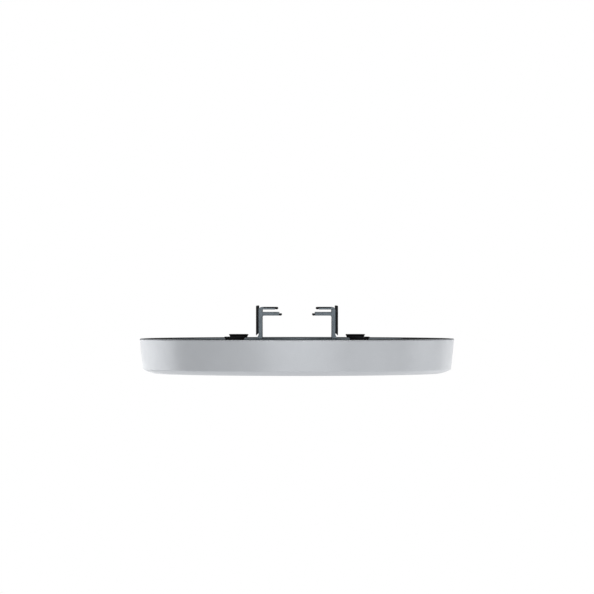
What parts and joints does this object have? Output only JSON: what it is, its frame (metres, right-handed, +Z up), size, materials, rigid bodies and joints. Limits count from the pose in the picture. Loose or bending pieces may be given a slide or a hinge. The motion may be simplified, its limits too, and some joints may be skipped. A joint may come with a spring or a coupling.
{
  "type": "ceiling access point",
  "caption": "Round, shallow ceiling access point with a flat face, hung by a bayonet plate and two sliding jaws that hook a suspended ceiling's T-rail.",
  "frame": {"origin": "on the access point's axis, where the rail's flange rests: the underside of the jaws' upper lips", "axes": "+Z up, out of the back towards the ceiling; the rail runs along Y; the jaws slide along X"},
  "size_m": [0.176, 0.176, 0.0379],
  "materials": {
    "satin_white": "satin, light silver-white",
    "black_plastic": "matte",
    "blue_grey_metal": "satin blue-grey coating on steel",
    "black_rubber": "matte",
    "zinc_steel": "zinc plated",
    "board_green": "solder mask on glass epoxy",
    "chip_black": "moulded epoxy",
    "tin_can": "tin plated sheet",
    "ferrite": "sintered ferrite",
    "thermal_pad": "soft silicone",
    "aluminium": "plain sheet",
    "antenna_brass": "stamped sheet",
    "clear_lens": "milky clear plastic",
    "reset_grey": "moulded"
  },
  "bodies": {
    "mount": {"mount_plate": "blue_grey_metal"},
    "left_jaw_body": {"left_jaw": "blue_grey_metal", "left_jaw_foot": "zinc_steel", "left_grip_strip": "black_plastic", "left_upper_bead": "black_rubber", "left_lower_bead": "black_rubber"},
    "left_lock_screw_body": {"left_lock_screw": "zinc_steel"},
    "right_jaw_body": {"right_jaw": "blue_grey_metal", "right_jaw_foot": "zinc_steel", "right_grip_strip": "black_plastic", "right_upper_bead": "black_rubber", "right_lower_bead": "black_rubber"},
    "right_lock_screw_body": {"right_lock_screw": "zinc_steel"},
    "access_point": {"front_cover": "satin_white", "back_housing": "black_plastic", "rim_gasket": "black_rubber", "main_board": "board_green", "ethernet_jack": "tin_can", "tile_pad_1": "black_rubber", "tile_pad_2": "black_rubber", "tile_pad_3": "black_rubber", "tile_pad_4": "black_rubber", "reset_switch": "chip_black", "status_lens": "clear_lens", "status_light": "clear_lens", "processor": "chip_black", "memory_chip_1": "chip_black", "memory_chip_2": "chip_black", "radio_chip_1": "chip_black", "radio_chip_2": "chip_black", "flash_chip": "chip_black", "ethernet_magnetics": "chip_black", "power_controller": "chip_black", "clock_crystal": "tin_can", "power_transformer": "ferrite", "inductor_1": "ferrite", "inductor_2": "ferrite", "capacitor_1": "aluminium", "capacitor_2": "aluminium", "capacitor_3": "aluminium", "processor_can": "tin_can", "radio_can": "tin_can", "thermal_pad_1": "thermal_pad", "thermal_pad_2": "thermal_pad", "heat_spreader": "aluminium", "antenna_1": "antenna_brass", "antenna_2": "antenna_brass", "antenna_3": "antenna_brass", "antenna_4": "antenna_brass", "housing_screw_1": "zinc_steel", "housing_screw_2": "zinc_steel", "housing_screw_3": "zinc_steel", "board_screw_1": "zinc_steel", "board_screw_2": "zinc_steel", "board_screw_3": "zinc_steel"},
    "reset_button_body": {"reset_button": "reset_grey"}
  },
  "joints": [
    {"name": "left_jaw_slide", "type": "slide", "parent": "mount", "child": "left_jaw_body", "axis": [-1, 0, 0], "range_m": [-0.007, 0.009]},
    {"name": "left_lock_turn", "type": "hinge", "parent": "mount", "child": "left_lock_screw_body", "pos_m": [-0.034, 0, -0.0181], "axis": [0, 0, 1], "continuous": true},
    {"name": "right_jaw_slide", "type": "slide", "parent": "mount", "child": "right_jaw_body", "axis": [1, 0, 0], "range_m": [-0.007, 0.009]},
    {"name": "right_lock_turn", "type": "hinge", "parent": "mount", "child": "right_lock_screw_body", "pos_m": [0.034, 0, -0.0181], "axis": [0, 0, 1], "continuous": true},
    {"name": "bayonet_twist", "type": "hinge", "parent": "mount", "child": "access_point", "pos_m": [0, 0, -0.0163], "axis": [0, 0, 1], "range_deg": [0, 24]},
    {"name": "reset_press", "type": "slide", "parent": "access_point", "child": "reset_button_body", "axis": [0, 1, 0], "range_m": [0, 0.0006], "stiffness_N_per_m": 500, "springref_m": -0.001}
  ]
}
